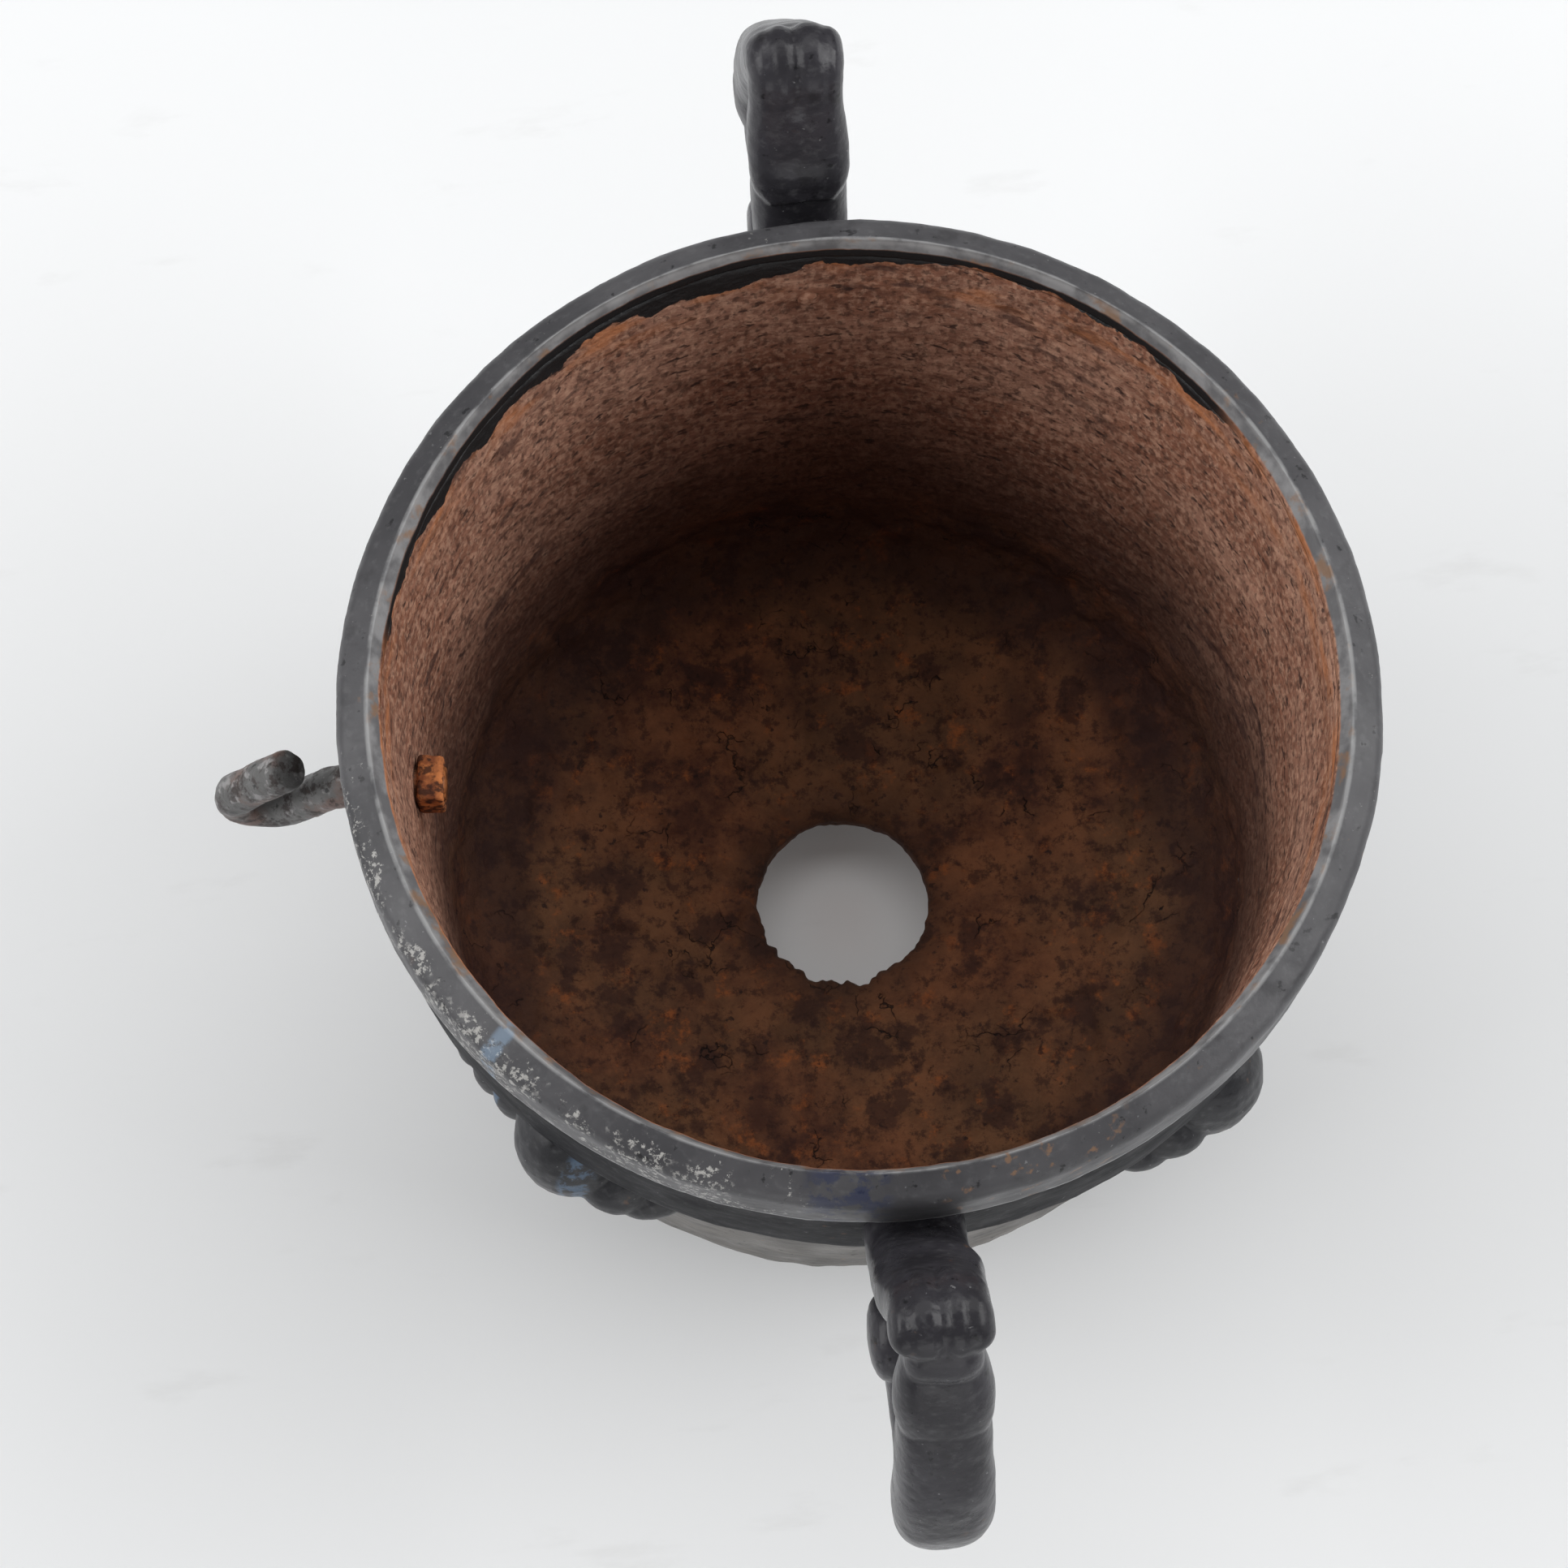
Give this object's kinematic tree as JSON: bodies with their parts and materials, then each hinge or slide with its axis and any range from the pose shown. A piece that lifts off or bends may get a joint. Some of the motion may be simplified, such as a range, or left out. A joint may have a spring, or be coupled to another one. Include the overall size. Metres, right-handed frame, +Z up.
{
  "type": "coal forge fire pot",
  "caption": "Round cast-iron fire pot for a coal forge: deep open pot with an air hole in its floor, scroll handles, swags between bow knots, short feet and a swivelling rod hook.",
  "frame": {"origin": "on the air hole's axis, at the hole's lower edge", "axes": "+Z up along the pot's axis, +Y towards the back handle, -X towards the hook"},
  "size_m": [0.3921, 0.53, 0.325],
  "materials": {
    "pot_iron": "rusted bare inside, worn black paint outside",
    "rim_paint": "worn graphite-black paint, scuffed along the shoulder",
    "belt_paint": "graphite-black paint, semi-gloss",
    "handle_paint": "graphite-black paint over a sand-cast skin",
    "ornament_paint": "graphite-black paint, thick in the folds",
    "foot_paint": "graphite-black paint",
    "rivet_iron": "rust-brown, dressed flush",
    "hook_rod": "worn grey paint with rust patches",
    "nut_rust": "bright orange-brown rust"
  },
  "bodies": {
    "pot": {"fire_pot": "pot_iron", "rim_hoop": "rim_paint", "belt_band": "belt_paint", "handle_front": "handle_paint", "handle_back": "handle_paint", "handle_rivets": "rivet_iron", "foot_1": "foot_paint", "foot_2": "foot_paint", "foot_3": "foot_paint", "foot_rivets": "rivet_iron", "knot_front_left": "ornament_paint", "knot_front_right": "ornament_paint", "knot_back_left": "ornament_paint", "knot_back_right": "ornament_paint", "festoon_left": "ornament_paint", "festoon_right": "ornament_paint"},
    "swivel_hook": {"hook": "hook_rod", "hook_nut": "nut_rust"}
  },
  "joints": [
    {"name": "hook_swivel", "type": "hinge", "parent": "pot", "child": "swivel_hook", "pos_m": [-0.1574, 0.01377, 0.162], "axis": [-0.9962, 0.0872, 0], "continuous": true}
  ]
}
